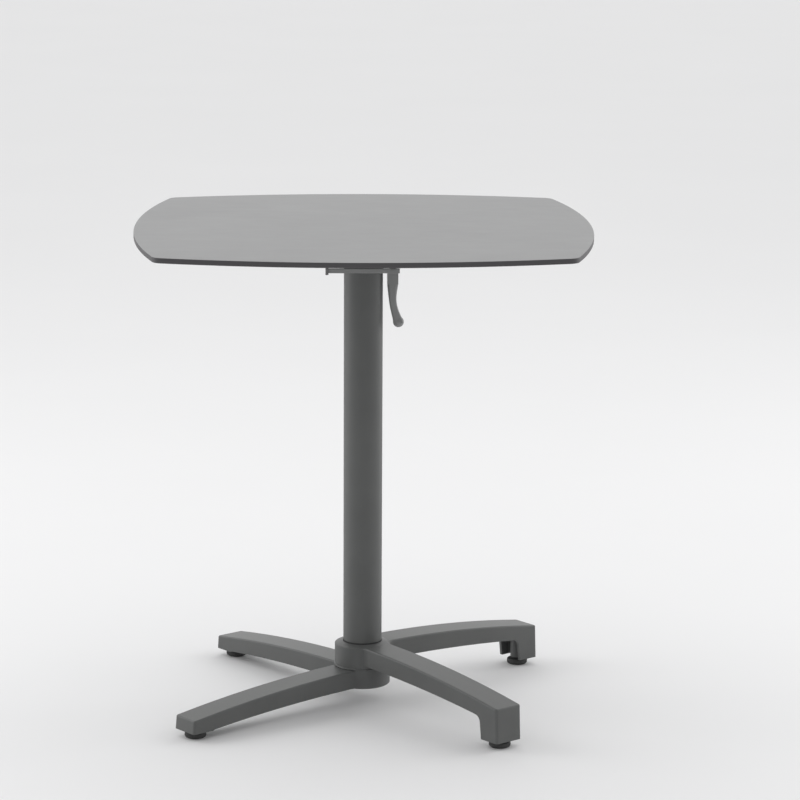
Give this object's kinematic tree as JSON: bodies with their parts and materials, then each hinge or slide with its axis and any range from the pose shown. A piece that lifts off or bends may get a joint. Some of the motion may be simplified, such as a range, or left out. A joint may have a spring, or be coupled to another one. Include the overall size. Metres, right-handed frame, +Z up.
{
  "type": "bistro table",
  "caption": "Flip-top bistro table: rounded square laminate top on a round column, with a nesting base of low and raised legs and a release lever.",
  "frame": {"origin": "on the floor under the column's axis", "axes": "+Z up; +X towards the release lever and the raised legs; +Y to the back, along the tilt pin"},
  "size_m": [0.6998, 0.6998, 0.75],
  "materials": {
    "powder_coat": "satin, fine texture",
    "mechanism_coat": "satin, a shade lighter than the base",
    "grey_rubber": "matte",
    "grey_laminate": "satin, soft cloudy print over a dark core",
    "black_rubber": "matte",
    "glide_plastic": "matte",
    "zinc_steel": "zinc plated",
    "bright_steel": "ground",
    "spring_steel": "oiled",
    "brass_insert": "plain",
    "bush_plastic": "moulded"
  },
  "bodies": {
    "base": {"low_leg_casting": "powder_coat", "raised_leg_casting": "powder_coat", "hub_screws": "zinc_steel", "glide_inserts": "zinc_steel", "column_seat_ring": "black_rubber", "column_tube": "powder_coat", "tie_rod": "zinc_steel", "tie_rod_washer": "zinc_steel", "tie_rod_nut": "zinc_steel", "column_head": "powder_coat", "tilt_pin": "bright_steel", "tilt_pin_clips": "spring_steel", "rest_pads": "black_rubber", "front_rail": "mechanism_coat", "rear_rail": "mechanism_coat", "front_stop_bumper": "grey_rubber", "rear_stop_bumper": "grey_rubber", "lever_pin": "mechanism_coat", "lever_spacers": "bush_plastic", "lever_spring": "spring_steel"},
    "top": {"table_top": "grey_laminate", "top_inserts": "brass_insert", "top_bracket": "powder_coat", "bracket_screws": "zinc_steel", "tilt_bushes": "bush_plastic", "striker_pin": "bright_steel"},
    "lever": {"release_lever": "mechanism_coat"},
    "glide_back_left": {"glide_foot_back_left": "glide_plastic", "glide_stud_back_left": "zinc_steel"},
    "glide_front_left": {"glide_foot_front_left": "glide_plastic", "glide_stud_front_left": "zinc_steel"},
    "glide_back_right": {"glide_foot_back_right": "glide_plastic", "glide_stud_back_right": "zinc_steel"},
    "glide_front_right": {"glide_foot_front_right": "glide_plastic", "glide_stud_front_right": "zinc_steel"}
  },
  "joints": [
    {"name": "top_tilt", "type": "hinge", "parent": "base", "child": "top", "pos_m": [-0.02, 0, 0.6975], "axis": [0, -1, 0], "range_deg": [0, 90]},
    {"name": "lever_release", "type": "hinge", "parent": "base", "child": "lever", "pos_m": [0.045, 0, 0.6865], "axis": [0, -1, 0], "range_deg": [0, 20], "stiffness_Nm_per_rad": 0.3, "springref_deg": -20.05},
    {"name": "glide_screw_back_left", "type": "slide", "parent": "base", "child": "glide_back_left", "axis": [0, 0, -1], "range_m": [0, 0.008]},
    {"name": "glide_screw_front_left", "type": "slide", "parent": "base", "child": "glide_front_left", "axis": [0, 0, -1], "range_m": [0, 0.008]},
    {"name": "glide_screw_back_right", "type": "slide", "parent": "base", "child": "glide_back_right", "axis": [0, 0, -1], "range_m": [0, 0.008]},
    {"name": "glide_screw_front_right", "type": "slide", "parent": "base", "child": "glide_front_right", "axis": [0, 0, -1], "range_m": [0, 0.008]}
  ]
}
